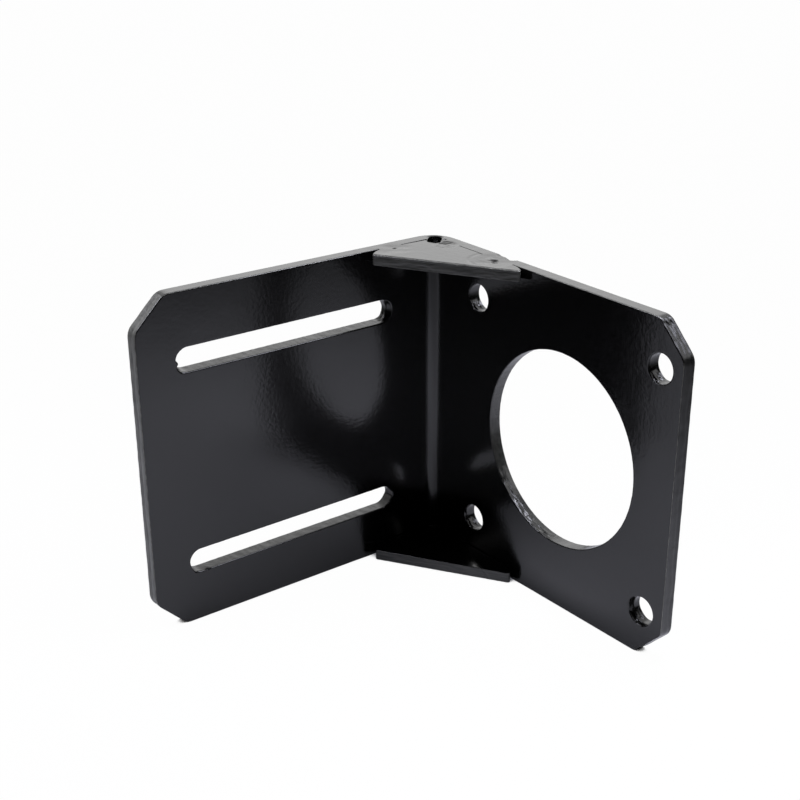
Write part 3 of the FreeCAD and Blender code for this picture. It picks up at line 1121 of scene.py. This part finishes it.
def softbox(name, azimuth, elevation, width, height, radiance):
    """A neutral lamp that faces the bracket. Azimuth 0 stands at +Y and 90 at +X."""
    thing = area_lamp(name, width, height, radiance, (1, 1, 1))
    a, e = math.radians(azimuth), math.radians(elevation)
    out = np.array((math.sin(a) * math.cos(e), math.cos(a) * math.cos(e), math.sin(e)))
    side = np.array((math.cos(a), -math.sin(a), 0))
    thing.matrix_world = placement(side, np.cross(out, side), out, out * SOFTBOX_DISTANCE)


COOL_WHITE = (0.93, 0.94, 1.07)
TABLE_LAMP_HEIGHT = 0.11
TABLE_LAMP_SIZE = 0.06


def table_lamp(name, x, y, radiance):
    """A small cool lamp that looks straight down on the floor beside the bracket."""
    thing = area_lamp(name, TABLE_LAMP_SIZE, TABLE_LAMP_SIZE, radiance, COOL_WHITE)
    thing.location = (x, y, TABLE_LAMP_HEIGHT)


def spot_lamp(name, x, y, height, reach, energy):
    """A cool lamp above the floor that fades out at a distance of reach metres from its middle."""
    data = bpy.data.lights.new(name, "SPOT")
    data.energy = energy
    data.shadow_soft_size = 0.04
    data.spot_size = 2 * math.atan2(reach, height)
    data.spot_blend = 1.0
    lamp_object(name, data, COOL_WHITE).location = (x, y, height)


softbox("back_softbox", 40, 22, 1.3, 0.4, 0.66)
softbox("right_softbox", 127, 35, 0.5, 0.4, 1.6)
softbox("left_softbox", -36, 30, 0.6, 0.7, 0.5)
table_lamp("table_lamp_left", -0.12, 0.06, 13.6)
table_lamp("table_lamp_right", 0.03, -0.01, 10.8)
table_lamp("table_lamp_front", 0.03, -0.06, 5.0)
spot_lamp("table_spot", -0.02, -0.05, 0.4675, 0.09, 4.3)

# Camera, fitted to the photo's edges and holes
CAMERA_PLACE = (-166.74, -169.45, 107.76)
CAMERA_AZIMUTH = -40.56
CAMERA_ELEVATION = 24.25
CAMERA_ROLL = 1.15
CAMERA_LENS = 62.87
CAMERA_SENSOR = 36.0
CAMERA_SHIFT = (-0.0867, 0.0553)


def camera_placement():
    """World matrix of the camera."""
    a, e, r = (math.radians(v) for v in (CAMERA_AZIMUTH, CAMERA_ELEVATION, CAMERA_ROLL))
    back = np.array((math.sin(a) * math.cos(e), -math.cos(a) * math.cos(e), math.sin(e)))
    right = np.array((math.cos(a), math.sin(a), 0))
    rise = np.cross(back, right)
    turned_right = right * math.cos(r) + rise * math.sin(r)
    turned_rise = -right * math.sin(r) + rise * math.cos(r)
    return placement(turned_right, turned_rise, back, np.array(CAMERA_PLACE) * MM)


camera_data = bpy.data.cameras.new("camera")
camera_data.sensor_width = CAMERA_SENSOR
camera_data.lens = CAMERA_LENS
camera_data.shift_x, camera_data.shift_y = CAMERA_SHIFT
camera_data.clip_start = 0.01
camera_data.clip_end = 20.0
camera = linked("camera", camera_data)
bpy.context.scene.camera = camera
camera.matrix_world = camera_placement()

bpy.context.scene.view_settings.view_transform = "Standard"

bpy.context.view_layer.update()
